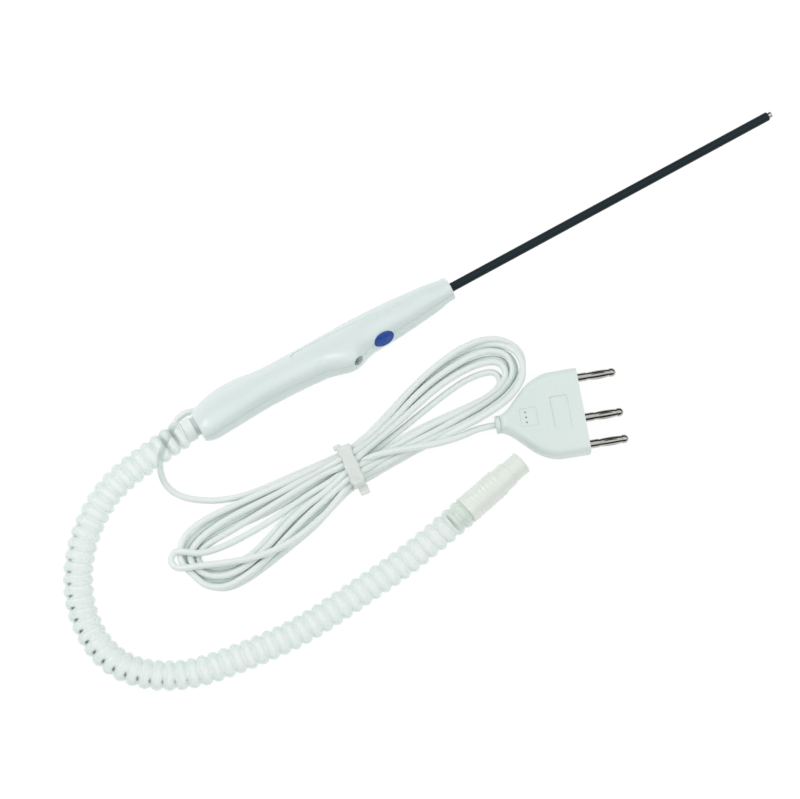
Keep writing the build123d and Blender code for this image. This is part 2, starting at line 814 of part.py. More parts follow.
def make_plug_body():
    upper = [(x * plug_length, y * plug_half_width) for x, y in plug_outline_shares]
    lower = [(x, -y) for x, y in reversed(upper)]
    flank_up = Spline([Vector(*p) for p in upper])
    flank_down = Spline([Vector(*p) for p in lower])
    outline = Wire(
        [
            flank_up.edge(),
            Line(upper[-1], (plug_length, plug_half_width)).edge(),
            Line((plug_length, plug_half_width), (plug_length, -plug_half_width)).edge(),
            Line((plug_length, -plug_half_width), lower[0]).edge(),
            flank_down.edge(),
            Line(lower[-1], upper[0]).edge(),
        ]
    )
    body = extrude(make_face(outline), amount=plug_height / 2, both=True)
    rims = body.faces().filter_by(Axis.Z)
    flank_edges = [edge for face in rims for edge in face.edges() if edge.center().X < plug_length - overrun]
    body = fillet(flank_edges, plug_edge_radius)
    neck_plane = Plane((0, 0, 0), x_dir=(0, 1, 0), z_dir=(1, 0, 0))
    body += extrude(neck_plane * Circle(plug_ring_radius), amount=plug_ring_length)
    body += extrude(neck_plane * Circle(plug_neck_half_width), amount=upper[1][0])
    panel_x = plug_length - plug_panel_face_distance - plug_panel_length / 2
    panel = Rectangle(plug_panel_length, plug_panel_width)
    panel = fillet(panel.vertices(), plug_panel_corner)
    panel_cut = extrude(Plane((panel_x, 0, plug_height / 2)) * panel, amount=-plug_panel_depth)
    body -= panel_cut
    for index in range(plug_hole_count):
        y = (index - (plug_hole_count - 1) / 2) * plug_hole_pitch
        hole_plane = Plane((plug_hole_distance, y, plug_height / 2))
        body -= extrude(hole_plane * Circle(plug_hole_radius), amount=-plug_hole_depth)
    frame_plane = Plane((plug_frame_distance + plug_frame_length / 2, 0, plug_height / 2))
    outer_frame = Rectangle(plug_frame_length, plug_frame_width)
    inner_frame = Rectangle(plug_frame_length - 2 * plug_frame_groove, plug_frame_width - 2 * plug_frame_groove)
    body -= extrude(frame_plane * (outer_frame - inner_frame), amount=-plug_frame_depth)
    for y in pin_offsets():
        bore_plane = Plane((plug_length, y, 0), x_dir=(0, 1, 0), z_dir=(-1, 0, 0))
        body -= extrude(bore_plane * Circle(pin_shank_radius + fit_gap), amount=pin_embed)
        foot_plane = bore_plane.offset(pin_embed - pin_foot_length - fit_gap)
        foot_depth = pin_foot_length + 2 * fit_gap
        body -= extrude(foot_plane * Circle(pin_foot_radius + fit_gap), amount=foot_depth)
    return plug_place() * body


def make_pin(y):
    """Turned pin: foot and shank in the body, plain base, thin core for the spring, rounded tip."""
    back = plug_length - pin_embed
    face = plug_length
    base_start = face + pin_relief_length
    base_end = face + pin_base_length
    tip_start = face + pin_length - pin_tip_length
    tip_end = face + pin_length
    profile = Wire(
        [
            Line((back, 0), (back, pin_foot_radius)).edge(),
            Line((back, pin_foot_radius), (back + pin_foot_length, pin_foot_radius)).edge(),
            Line((back + pin_foot_length, pin_foot_radius), (back + pin_foot_length, pin_shank_radius)).edge(),
            Line((back + pin_foot_length, pin_shank_radius), (base_start, pin_shank_radius)).edge(),
            Line((base_start, pin_shank_radius), (base_start, pin_radius)).edge(),
            Line((base_start, pin_radius), (base_end, pin_radius)).edge(),
            Line((base_end, pin_radius), (base_end, pin_core_radius)).edge(),
            Line((base_end, pin_core_radius), (tip_start, pin_core_radius)).edge(),
            Line((tip_start, pin_core_radius), (tip_start, pin_radius)).edge(),
            Line((tip_start, pin_radius), (tip_end - pin_radius, pin_radius)).edge(),
            CenterArc((tip_end - pin_radius, 0), pin_radius, 0, 90).edge(),
            Line((tip_end, 0), (back, 0)).edge(),
        ]
    )
    pin = revolve(make_face(profile), Axis.X)
    return plug_place() * Pos(0, y, 0) * pin


def make_pin_spring(y):
    """Sprung sleeve round the pin's core, waisted at its ends, with a lens window on each side."""
    start = plug_length + pin_base_length + fit_gap
    end = plug_length + pin_length - pin_tip_length - fit_gap
    middle = (start + end) / 2
    waist = pin_radius - pin_spring_waist
    outer_arc = ThreePointArc((start, waist), (middle, pin_radius), (end, waist)).edge()
    inner_arc = ThreePointArc(
        (end, waist - pin_spring_wall), (middle, pin_radius - pin_spring_wall), (start, waist - pin_spring_wall)
    ).edge()
    profile = Wire(
        [
            outer_arc,
            Line((end, waist), (end, waist - pin_spring_wall)).edge(),
            inner_arc,
            Line((start, waist - pin_spring_wall), (start, waist)).edge(),
        ]
    )
    sleeve = revolve(make_face(profile), Axis.X)
    for index in range(pin_window_count // 2):
        plane = Plane((middle, 0, 0), x_dir=(1, 0, 0), z_dir=(0, 0, 1))
        window = extrude(
            plane * Ellipse(pin_window_length / 2, pin_window_width / 2), amount=pin_radius * 2, both=True
        )
        sleeve -= Rot(180 * index / (pin_window_count // 2), 0, 0) * window
    return plug_place() * Pos(0, y, 0) * sleeve


def main():
    os.makedirs(parts_folder, exist_ok=True)
    left_shell, right_shell = make_shells()
    clip_depth = clip_start + clip_length / 2
    clip_foot = -(tube_radius + fit_gap + clip_wall) + lead_radius
    switch_lead_depth = board_rear - 2 * rib_thickness - lead_radius - lead_joint_gap
    local = {
        "left_shell": left_shell,
        "right_shell": right_shell,
        "button": make_button(),
        "switch_dome": make_dome(),
        "switch_board": make_board(),
        "contact_clip": make_clip(),
        "suction_tube": make_tube(),
        "insulation_sleeve": make_sleeve(),
        "shaft_collar": ring(collar_radius, sleeve_radius + fit_gap, collar_depth, collar_end),
        "vent_manifold": make_manifold(),
        "inner_hose": make_inner_hose(),
        "hose_spigot": make_spigot(),
        "hose_cuff": make_cuff(),
        "cord_clamp": make_clamp(),
        "active_lead": make_lead(1, clip_depth, clip_foot - lead_joint_gap / 2),
        "switch_lead": make_lead(-1, switch_lead_depth, board_bottom_height - fit_gap),
    }
    turned = {name: Rot(90 - button_elevation_deg, 0, 0) * shape for name, shape in local.items()}
    box = Compound([shape for shape in turned.values()]).bounding_box()
    shift = Pos(-box.center().X, -box.center().Y, -box.min.Z)
    print("handle frame placed at", shift.position)
    pieces = {name: shift * shape for name, shape in turned.items()}
    handle = shift * Rot(90 - button_elevation_deg, 0, 0)
    hose_start = (handle * Pos(-cuff_end, 0, 0)).position
    cord_start = (handle * Pos(-clamp_end, 0, -cord_exit_depth)).position
    plug_start = plug_place().position
    print("hose starts", hose_start, "cord starts", cord_start, "cord ends", plug_start)
    hose_points = [hose_start] + [Vector(*p) for p in hose_route]
    cord_straight = (handle * Pos(-clamp_end - cord_exit_run, 0, -cord_exit_depth)).position
    lead_points = [cord_start, cord_straight] + [Vector(*p) for p in cord_lead_route]
    plug_approach = (plug_place() * Pos(-cord_plug_run, 0, 0)).position
    tail_points = [Vector(*p) for p in cord_tail_route] + [plug_approach, plug_start]
    pieces["smoke_hose"] = swept_tube("smoke_hose", hose_points, hose_radius, hose_inner_radius)
    pieces["hose_connector"] = make_connector()
    pieces["cord_lead"] = swept_tube("cord_lead", lead_points, cord_radius, 0)
    pieces["cord_hank"] = make_hank()
    pieces["cord_tail"] = swept_tube("cord_tail", tail_points, cord_radius, 0)
    pieces["cord_tie"] = make_tie()
    pieces["plug_body"] = make_plug_body()
    for index, y in enumerate(pin_offsets()):
        pieces[f"plug_pin_{index + 1}"] = make_pin(y)
        pieces[f"pin_spring_{index + 1}"] = make_pin_spring(y)
    for name, shape in pieces.items():
        export_step(shape, f"{parts_folder}/{name}.step")


main()
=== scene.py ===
import math

import bmesh
import bpy
from mathutils import Matrix, Vector


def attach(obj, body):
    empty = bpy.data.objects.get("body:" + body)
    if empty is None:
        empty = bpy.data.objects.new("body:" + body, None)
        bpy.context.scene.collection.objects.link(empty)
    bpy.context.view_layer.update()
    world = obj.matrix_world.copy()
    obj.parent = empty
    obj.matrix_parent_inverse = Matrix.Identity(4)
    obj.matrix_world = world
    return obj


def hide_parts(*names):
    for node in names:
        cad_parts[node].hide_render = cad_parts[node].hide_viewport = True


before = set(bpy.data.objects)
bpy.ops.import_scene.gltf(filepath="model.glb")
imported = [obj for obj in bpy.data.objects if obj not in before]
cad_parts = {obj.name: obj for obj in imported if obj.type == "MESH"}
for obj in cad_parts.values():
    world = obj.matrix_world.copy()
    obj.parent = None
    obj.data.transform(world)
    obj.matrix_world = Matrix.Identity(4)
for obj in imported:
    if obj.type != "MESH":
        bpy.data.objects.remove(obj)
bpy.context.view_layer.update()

MM = 0.001
BODY = "pencil"

# ---------------------------------------------------------------- routes, in mm
# Of the hose and the cord. The ends are where the solids have them, and between them the routes
# follow the solids closely.
hose_start = (-155.75, 1.03316, 10.7694)
hose_route = [
    (-176.3, -1.4, 11.3),
    (-196.8, -4.8, 9.9),
    (-214.3, -15.2, 7.4),
    (-227.6, -30.2, 6.9),
    (-235.4, -49.8, 6.9),
    (-235.0, -70.4, 6.9),
    (-225.6, -85.6, 6.9),
    (-207.0, -97.0, 6.9),
    (-183.0, -101.3, 6.9),
    (-154.0, -104.3, 6.9),
    (-123.0, -101.8, 6.9),
    (-92.0, -99.0, 6.9),
    (-62.4, -92.6, 6.9),
]
cord_start = (-137.15, 8.38967, 4.91775)
cord_straight = (-145.4, 8.38967, 4.91775)
cord_lead_route = [
    (-151.6, 11.2, 4.0),
    (-158.0, 8.6, 2.2),
    (-164.2, 4.4, 1.5),
    (-169.9, -0.8, 1.5),
    (-173.7, -7.6, 1.5),
    (-174.3, -14.8, 1.5),
    (-171.6, -21.4, 1.5),
    (-165.4, -27.2, 1.5),
    (-157.2, -32.2, 1.5),
    (-147.2, -35.8, 1.5),
    (-136.0, -37.6, 1.5),
    (-124.0, -38.6, 1.6),
    (-111.0, -40.2, 3.0),
]
cord_tail_route = [
    (-85.0, -50.0, 7.3),
    (-76.0, -52.8, 7.6),
    (-67.0, -56.2, 7.4),
    (-57.5, -59.2, 6.4),
    (-47.5, -61.2, 5.2),
]
plug_approach = (-37.993, -61.715, 5.5)
plug_start = (-30.4756, -64.4508, 5.5)
cord_radius = 1.5
cord_roundness = 6
cord_steps = 8
hose_radius = 6.9
hose_steps = 16

# ---------------------------------------------------------------- hank, in mm
# Two lobes of seven strands, one on each side of the tie. Each strand has a rank, from 0 inside to
# 6 outside. The even ranks lie on the table and the odd ones between and above them. The last
# fold of the left lobe lies on top, and rank 6 climbs over the plug's shoulder on the right.
tie_place = (-97.2, -48.9)
tie_half_run = 3.8
# Offset from the tie's middle and height of each rank's strand inside the tie
strand_order = [6, 4, 2, 0, 1, 3, 5]
tie_slots = [(1.6, 2.4), (1.6, 7.6), (3.15, 5.0), (4.7, 7.6), (4.7, 2.4), (6.25, 5.0), (7.8, 2.4)]
middle_slot = (0.0, 5.0)
# Guides of the innermost and outermost strand, from the tie round the lobe and back to it
right_outer = [
    (-84.0, -39.2), (-70.0, -34.9), (-56.0, -29.2), (-41.0, -25.3), (-25.5, -24.2), (-12.4, -26.6),
    (-5.0, -33.2), (-3.4, -41.2), (-6.8, -48.9), (-15.6, -54.6), (-28.5, -57.2), (-45.5, -57.6),
    (-64.0, -56.4), (-82.0, -56.2),
]
right_inner = [
    (-84.0, -46.9), (-70.0, -44.6), (-57.0, -41.8), (-45.0, -39.9), (-34.5, -38.7), (-25.4, -38.5),
    (-17.4, -41.0), (-17.4, -47.6), (-24.8, -50.3), (-36.5, -49.9), (-50.0, -48.4), (-64.0, -47.8),
    (-77.0, -48.8), (-87.0, -50.2),
]
left_outer = [
    (-111.0, -59.4), (-125.0, -64.3), (-139.0, -67.4), (-152.0, -70.2), (-165.0, -71.8),
    (-175.0, -70.4), (-180.9, -64.8), (-183.0, -57.2), (-185.4, -49.6), (-182.4, -43.0),
    (-176.0, -38.7), (-166.0, -37.1), (-154.0, -37.3), (-140.0, -38.4), (-126.0, -39.7),
    (-112.0, -40.7),
]
left_inner = [
    (-110.0, -51.5), (-122.0, -51.8), (-134.0, -54.4), (-146.0, -59.2), (-157.0, -62.0),
    (-167.0, -61.6), (-174.4, -58.4), (-178.2, -54.0), (-176.2, -49.6), (-169.5, -48.2),
    (-161.0, -48.4), (-151.0, -48.8), (-141.0, -49.0), (-131.0, -48.4), (-120.0, -47.6),
    (-109.0, -47.0),
]
low_height = 1.5
high_height = 4.35
# Shares from the inner guide to the outer one, on the way out, at the end and on the way back
right_shares = [
    (0.0, 0.0, 0.0), (0.30, 0.28, 0.17), (0.42, 0.44, 0.34), (0.56, 0.62, 0.50),
    (0.68, 0.72, 0.67), (0.84, 1.02, 0.82), (1.0, 0.86, 0.98),
]
left_out_shares = [0.0, 0.17, 0.34, 0.50, 0.67, 0.84, 1.0]
left_back_shares = [0.0, 0.22, 0.36, 0.54, 0.68, 0.86]
left_end_shift = {6: 0.0, 4: 0.02, 2: 0.06, 0: -0.08, 1: 0.16, 3: 0.34}
# How far rank 6 moves and rises at each guide point where it passes the plug
shoulder_rank = 6
shoulder_shift = {
    7: (0.7, -0.6), 8: (0.9, -2.6), 9: (-0.3, -3.2), 10: (-1.3, -2.4), 11: (-0.4, -1.3),
}
shoulder_lift = {5: 1.0, 6: 3.4, 7: 6.2, 8: 7.8, 9: 8.6, 10: 8.8, 11: 5.2, 12: 0.6}
# Slight wander of each strand, as a share of the lobe's depth, and its rate on each side
wander_share = 0.02
right_wander_rate = 2.1
left_wander_rate = 1.7
last_fold = [
    (-116.2, -62.1, 5.6), (-127.2, -64.8, 6.6), (-136.8, -66.3, 7.2), (-146.3, -66.2, 7.2),
    (-155.6, -64.5, 7.2), (-164.2, -61.7, 7.2), (-172.6, -58.3, 7.2), (-180.3, -55.1, 7.2),
    (-184.9, -53.4, 6.8), (-188.3, -51.2, 5.6), (-189.2, -48.0, 5.0), (-187.7, -45.2, 5.2),
    (-184.7, -44.5, 6.2), (-181.1, -47.1, 7.2), (-175.4, -51.4, 7.0), (-165.5, -52.8, 4.6),
    (-155.4, -52.9, 3.0), (-143.5, -52.6, 2.4), (-131.0, -51.4, 2.4), (-118.6, -50.2, 3.2),
    (-108.2, -50.3, 4.4),
]


def smooth_mix(start, middle, end, place):
    """Value along a lobe, from its way out over its end to its way back."""
    if place < 0.5:
        near, far, part = start, middle, place * 2
    else:
        near, far, part = middle, end, place * 2 - 1
    part = part * part * (3 - 2 * part)
    return near + (far - near) * part


def slot_points(side, rank, direction):
    """Two points that run straight through the tie, on its upper or lower side."""
    offset, height = tie_slots[rank]
    y = tie_place[1] + side * offset
    first = (tie_place[0] - direction * tie_half_run, y, height)
    second = (tie_place[0] + direction * tie_half_run, y, height)
    return [first, second]


def lobe_points(outer, inner, share_at, height_at, shifts):
    """Points of one strand round a lobe, between the inner guide and the outer one."""
    points = []
    count = len(outer)
    for index in range(count):
        place = (index + 0.5) / count
        share = share_at(index, place)
        height = height_at(index, place)
        shift = shifts.get(index, (0.0, 0.0))
        x = inner[index][0] + share * (outer[index][0] - inner[index][0]) + shift[0]
        y = inner[index][1] + share * (outer[index][1] - inner[index][1]) + shift[1]
        points.append((x, y, height))
    return points


def strand_height(rank):
    return high_height if rank % 2 else low_height


def strand_wander(rate, index, rank):
    return wander_share * math.sin(rate * index + rank)


def hank_points():
    """Points of the whole folded part: seven turns round the right lobe and the left one."""
    points = []
    for turn, rank in enumerate(strand_order):
        points += slot_points(1, rank, 1)
        shares = right_shares[rank]

        def right_share(index, place):
            return smooth_mix(*shares, place) + strand_wander(right_wander_rate, index, rank)

        def right_height(index, place):
            lift = shoulder_lift.get(index, 0.0) if rank == shoulder_rank else 0.0
            return strand_height(rank) + lift

        shifts = shoulder_shift if rank == shoulder_rank else {}
        points += lobe_points(right_outer, right_inner, right_share, right_height, shifts)
        points += slot_points(-1, rank, -1)
        if turn == len(strand_order) - 1:
            break
        next_rank = strand_order[turn + 1]
        out_share, back_share = left_out_shares[rank], left_back_shares[next_rank]
        end_share = (out_share + back_share) / 2 + left_end_shift[rank]

        def left_share(index, place):
            share = smooth_mix(out_share, end_share, back_share, place)
            return share + strand_wander(left_wander_rate, index, rank)

        def left_height(index, place):
            near, far = strand_height(rank), strand_height(next_rank)
            return smooth_mix(near, (near + far) / 2, far, place)

        points += lobe_points(left_outer, left_inner, left_share, left_height, {})
    points += last_fold
    y = tie_place[1] + middle_slot[0]
    points.append((tie_place[0] - tie_half_run, y, middle_slot[1]))
    points.append((tie_place[0] + tie_half_run, y, middle_slot[1]))
    return points


def nurbs_curve(name, points, bevel, steps):
    """Curve object with one open, smooth spline through the route given in mm."""
    curve = bpy.data.curves.new(name, "CURVE")
    curve.dimensions = "3D"
    curve.resolution_u = steps
    curve.bevel_depth = bevel * MM
    curve.bevel_resolution = cord_roundness
    curve.use_fill_caps = bevel > 0
    spline = curve.splines.new("NURBS")
    spline.points.add(len(points) - 1)
    for place, point in zip(spline.points, points):
        place.co = (point[0] * MM, point[1] * MM, point[2] * MM, 1.0)
    spline.order_u = 3
    spline.use_endpoint_u = True
    piece = bpy.data.objects.new(name, curve)
    bpy.context.scene.collection.objects.link(piece)
    return piece


def centreline(curve_object):
    """Points that Blender reads off a curve with no bevel, in metres."""
    line = bpy.data.meshes.new_from_object(curve_object)
    points = [vertex.co.copy() for vertex in line.vertices]
    bpy.data.meshes.remove(line)
    return points


def line_length(points):
    return sum((b - a).length for a, b in zip(points, points[1:]))


# ---------------------------------------------------------------- camera
target = Vector((-62.39, -32.33, 5.0)) * MM
camera_place = Vector((-217.37, -306.31, 1179.76)) * MM
camera_up = Vector((0.4756, 0.8407, 0.2588))
camera_data = bpy.data.cameras.new("studio_camera")
camera_data.lens = 120.0
camera_data.sensor_width = 36.0
camera_data.sensor_fit = "HORIZONTAL"
camera_data.clip_end = 20.0
camera = bpy.data.objects.new("studio_camera", camera_data)
bpy.context.scene.collection.objects.link(camera)
view_axis = (camera_place - target).normalized()
right_axis = camera_up.cross(view_axis).normalized()
up_axis = view_axis.cross(right_axis)
turn_matrix = Matrix((right_axis, up_axis, view_axis)).transposed().to_4x4()
camera.matrix_world = Matrix.Translation(camera_place) @ turn_matrix
bpy.context.scene.camera = camera
bpy.context.scene.view_settings.view_transform = "Standard"


# ---------------------------------------------------------------- materials
ring_distortion = 0.6
pale_scatter = (0.003, 0.003, 0.003)
tint_darkening = 0.82


class Finish:
    """A procedural material with a Principled shader and Object coordinates."""

    def __init__(self, name, colour, roughness, **sockets):
        self.material = bpy.data.materials.new(name)
        self.material.use_nodes = True
        self.nodes = self.material.node_tree.nodes
        self.links = self.material.node_tree.links
        self.shader = self.nodes["Principled BSDF"]
        self.place = self.nodes.new("ShaderNodeTexCoord").outputs["Object"]
        self.normal = None
        self.shader.inputs["Base Color"].default_value = (*colour, 1.0)
        self.shader.inputs["Roughness"].default_value = roughness
        self.colour = colour
        for key, value in sockets.items():
            self.shader.inputs[key.replace("_", " ")].default_value = value

    def noise(self, scale, detail=3.0, stretch=None, distortion=0.0):
        vector = self.place
        if stretch is not None:
            mapping = self.nodes.new("ShaderNodeMapping")
            mapping.inputs["Scale"].default_value = stretch
            self.links.new(self.place, mapping.inputs["Vector"])
            vector = mapping.outputs["Vector"]
        node = self.nodes.new("ShaderNodeTexNoise")
        node.inputs["Scale"].default_value = scale
        node.inputs["Detail"].default_value = detail
        node.inputs["Distortion"].default_value = distortion
        self.links.new(vector, node.inputs["Vector"])
        return node.outputs["Fac"]

    def rings(self, turn, scale):
        """Fine rings about an axis that lies on the table, turned from X by the given angle."""
        mapping = self.nodes.new("ShaderNodeMapping")
        mapping.inputs["Rotation"].default_value = (0.0, 0.0, -turn)
        self.links.new(self.place, mapping.inputs["Vector"])
        node = self.nodes.new("ShaderNodeTexWave")
        node.inputs["Scale"].default_value = scale
        node.inputs["Distortion"].default_value = ring_distortion
        self.links.new(mapping.outputs["Vector"], node.inputs["Vector"])
        return node.outputs["Fac"]

    def spread(self, value, low, high, start=0.3, end=0.7):
        node = self.nodes.new("ShaderNodeMapRange")
        node.inputs["From Min"].default_value = start
        node.inputs["From Max"].default_value = end
        node.inputs["To Min"].default_value = low
        node.inputs["To Max"].default_value = high
        self.links.new(value, node.inputs["Value"])
        return node.outputs["Result"]

    def tint(self, value, other, start=0.3, end=0.7):
        """Colour that goes over to another one where the pattern is high."""
        node = self.nodes.new("ShaderNodeMix")
        node.data_type = "RGBA"
        old = self.shader.inputs["Base Color"]
        if old.is_linked:
            self.links.new(old.links[0].from_socket, node.inputs["A"])
        else:
            node.inputs["A"].default_value = (*self.colour, 1.0)
        node.inputs["B"].default_value = (*other, 1.0)
        self.links.new(self.spread(value, 0.0, 1.0, start, end), node.inputs["Factor"])
        self.links.new(node.outputs["Result"], old)

    def gloss(self, value, low, high):
        self.links.new(self.spread(value, low, high), self.shader.inputs["Roughness"])

    def film(self, facing, edge):
        """How much a clear wall covers what lies behind it, seen square on and along the wall."""
        weight = self.nodes.new("ShaderNodeLayerWeight")
        weight.inputs["Blend"].default_value = 0.5
        cover = self.spread(weight.outputs["Facing"], facing, edge, 0.0, 1.0)
        self.links.new(cover, self.shader.inputs["Alpha"])

    def painted_shade_and_glint(self, attribute, colour):
        """Painted dark reflection and painted shade in a groove, where the mesh's attribute is 1.
        """
        mark = self.nodes.new("ShaderNodeAttribute")
        mark.attribute_name = attribute
        self.tint(mark.outputs["Fac"], colour, 0.0, 1.0)
        cover = self.shader.inputs["Alpha"]
        larger = self.nodes.new("ShaderNodeMath")
        larger.operation = "MAXIMUM"
        self.links.new(cover.links[0].from_socket, larger.inputs[0])
        self.links.new(mark.outputs["Fac"], larger.inputs[1])
        self.links.new(larger.outputs["Value"], cover)

    def bump(self, value, height, strength=1.0):
        node = self.nodes.new("ShaderNodeBump")
        node.inputs["Strength"].default_value = strength
        node.inputs["Distance"].default_value = height * MM
        self.links.new(value, node.inputs["Height"])
        if self.normal is not None:
            self.links.new(self.normal, node.inputs["Normal"])
        self.normal = node.outputs["Normal"]
        self.links.new(self.normal, self.shader.inputs["Normal"])


def moulded(name, colour, shade, roughness, coat=0.2, grain=0.012, softness=0.08):
    """Pale moulded plastic: slow colour drift, fine spark-eroded grain and uneven gloss."""
    finish = Finish(
        name, colour, roughness, Coat_Weight=coat, Coat_Roughness=0.12, IOR=1.5,
        Subsurface_Weight=softness, Subsurface_Radius=pale_scatter, Subsurface_Scale=1.0,
    )
    finish.tint(finish.noise(38.0, 2.0), shade)
    finish.gloss(finish.noise(90.0, 4.0), roughness - 0.05, roughness + 0.08)
    finish.bump(finish.noise(2600.0, 2.0), grain, 0.5)
    finish.bump(finish.noise(70.0, 2.0), 0.05, 0.25)
    return finish


def metal(name, colour, roughness, stretch, streak=0.004):
    """Drawn or turned metal with fine streaks."""
    finish = Finish(name, colour, roughness, Metallic=1.0)
    streaks = finish.noise(220.0, 5.0, stretch)
    finish.gloss(streaks, roughness * 0.6, roughness * 1.7)
    finish.tint(finish.noise(130.0, 3.0), tuple(value * tint_darkening for value in colour))
    finish.bump(streaks, streak, 0.6)
    return finish


shell_finish = moulded("shell_plastic", (0.795, 0.905, 0.885), (0.82, 0.92, 0.905), 0.30)
plug_finish = moulded("plug_plastic", (0.77, 0.875, 0.84), (0.795, 0.893, 0.865), 0.33)
inner_finish = moulded("inner_plastic", (0.68, 0.76, 0.74), (0.72, 0.79, 0.77), 0.4)
cuff_finish = moulded("cuff_plastic", (0.91, 0.99, 0.965), (0.92, 0.99, 0.97), 0.45, 0.1, 0.02)
jacket_finish = moulded(
    "cord_jacket", (0.865, 0.955, 0.92), (0.89, 0.968, 0.94), 0.32, 0.15, 0.01, 0.3,
)
lead_finish = moulded("lead_jacket", (0.55, 0.58, 0.56), (0.6, 0.62, 0.6), 0.35)

button_finish = Finish(
    "button_plastic", (0.023, 0.084, 0.4), 0.3, Coat_Weight=0.15, Coat_Roughness=0.1,
)
button_finish.tint(button_finish.noise(300.0, 3.0), (0.022, 0.083, 0.42))
button_finish.gloss(button_finish.noise(500.0, 3.0), 0.24, 0.36)
button_finish.bump(button_finish.noise(2200.0, 2.0), 0.012, 0.5)

sleeve_finish = Finish(
    "black_insulation", (0.0165, 0.028, 0.034), 0.34, Specular_IOR_Level=0.09,
)
sleeve_finish.tint(sleeve_finish.noise(60.0, 4.0, (0.2, 1.0, 1.0)), (0.0205, 0.032, 0.038))
sleeve_finish.gloss(sleeve_finish.noise(150.0, 4.0, (0.15, 1.0, 1.0)), 0.24, 0.42)
sleeve_finish.bump(sleeve_finish.noise(900.0, 3.0), 0.01, 0.4)

steel_finish = metal("tube_steel", (0.62, 0.64, 0.66), 0.22, (0.1, 3.0, 3.0))
spring_finish = metal("spring_steel", (0.65, 0.65, 0.65), 0.2, (1.0, 1.0, 1.0))
brass_finish = metal("contact_brass", (0.75, 0.58, 0.28), 0.25, (1.0, 1.0, 1.0))
nickel_finish = metal("pin_nickel", (0.56, 0.56, 0.53), 0.09, (1.0, 1.0, 1.0), 0.003)

board_finish = Finish("board_laminate", (0.05, 0.20, 0.09), 0.35, Coat_Weight=0.5)
board_finish.tint(board_finish.noise(240.0, 1.0), (0.09, 0.30, 0.14), 0.48, 0.52)
board_finish.bump(board_finish.noise(1500.0, 2.0), 0.02, 0.4)

silicone_finish = Finish(
    "inner_silicone", (0.74, 0.79, 0.76), 0.35, Transmission_Weight=0.35, IOR=1.41,
)
silicone_finish.tint(silicone_finish.noise(60.0, 2.0), (0.8, 0.84, 0.81))
silicone_finish.gloss(silicone_finish.noise(120.0, 3.0), 0.3, 0.42)
silicone_finish.bump(silicone_finish.noise(600.0, 2.0), 0.02, 0.4)

hose_finish = Finish("clear_hose", (0.84, 0.985, 0.93), 0.12)
hose_finish.tint(hose_finish.noise(45.0, 3.0), (0.88, 0.99, 0.95))
hose_finish.gloss(hose_finish.noise(160.0, 4.0), 0.07, 0.17)
hose_finish.bump(hose_finish.noise(210.0, 3.0, None, 0.6), 0.06, 0.35)
hose_finish.film(0.13, 0.5)
# Painted dark reflections and painted shade in the hose's grooves, from a mesh attribute
hose_finish.painted_shade_and_glint("painted_shade_and_glint", (0.02, 0.03, 0.03))

connector_turn = math.radians(12.2)
connector_finish = Finish(
    "milky_connector", (0.86, 0.93, 0.855), 0.3, Coat_Weight=0.15, Coat_Roughness=0.12,
    Subsurface_Weight=0.12, Subsurface_Radius=pale_scatter, Subsurface_Scale=1.0,
)
connector_finish.tint(connector_finish.noise(55.0, 3.0), (0.895, 0.95, 0.88))
connector_finish.gloss(connector_finish.noise(130.0, 3.0), 0.22, 0.4)
connector_finish.bump(connector_finish.noise(420.0, 3.0), 0.03, 0.4)
connector_finish.bump(connector_finish.rings(connector_turn, 190.0), 0.12, 0.5)

tie_finish = Finish("tie_film", (0.92, 0.985, 0.935), 0.3, Coat_Weight=0.15, Coat_Roughness=0.1)
tie_finish.tint(tie_finish.noise(260.0, 3.0), (0.94, 0.99, 0.95))
tie_finish.gloss(tie_finish.noise(350.0, 3.0), 0.2, 0.45)
tie_finish.bump(tie_finish.noise(420.0, 3.0), 0.1, 0.5)
tie_finish.film(0.8, 0.97)

node_finishes = {
    "left_shell": shell_finish,
    "right_shell": shell_finish,
    "button": button_finish,
    "switch_dome": spring_finish,
    "switch_board": board_finish,
    "contact_clip": brass_finish,
    "suction_tube": steel_finish,
    "insulation_sleeve": sleeve_finish,
    "shaft_collar": brass_finish,
    "vent_manifold": inner_finish,
    "inner_hose": silicone_finish,
    "hose_spigot": inner_finish,
    "hose_cuff": cuff_finish,
    "cord_clamp": jacket_finish,
    "active_lead": lead_finish,
    "switch_lead": lead_finish,
    "hose_connector": connector_finish,
    "plug_body": plug_finish,
    "plug_pin_1": nickel_finish,
    "plug_pin_2": nickel_finish,
    "plug_pin_3": nickel_finish,
    "pin_spring_1": nickel_finish,
    "pin_spring_2": nickel_finish,
    "pin_spring_3": nickel_finish,
}
for node, finish in node_finishes.items():
    mesh = bpy.data.objects[node].data
    mesh.materials.clear()
    mesh.materials.append(finish.material)


# ---------------------------------------------------------------- cord and hose
lead_points = [cord_start, cord_straight] + cord_lead_route
tail_points = cord_tail_route + [plug_approach, plug_start]
cord_points = lead_points + hank_points() + tail_points
cord_line = nurbs_curve("cord_line", cord_points, 0.0, cord_steps)
cord_length = line_length(centreline(cord_line))
bpy.data.objects.remove(cord_line)
cord = nurbs_curve("cord", cord_points, cord_radius, cord_steps)
cord.data.materials.append(jacket_finish.material)
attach(cord, BODY)
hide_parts("cord_lead", "cord_hank", "cord_tail")

rib_pitch = 5.2
rib_depth = 1.5
rib_steps = 10
rib_fullness = 0.85
hose_wall = 0.55
hose_sides = 60
# Painted dark reflections in the grooves along the hose's outer bend: width as a share of a ring,
# middle and reach along the hose, and turn and span round it
painted_glint_strength = 1.6
groove_width = 0.19
groove_middle = 113.0
groove_reach = 58.0
groove_turn = math.radians(37.0)
groove_span = math.radians(25.0)
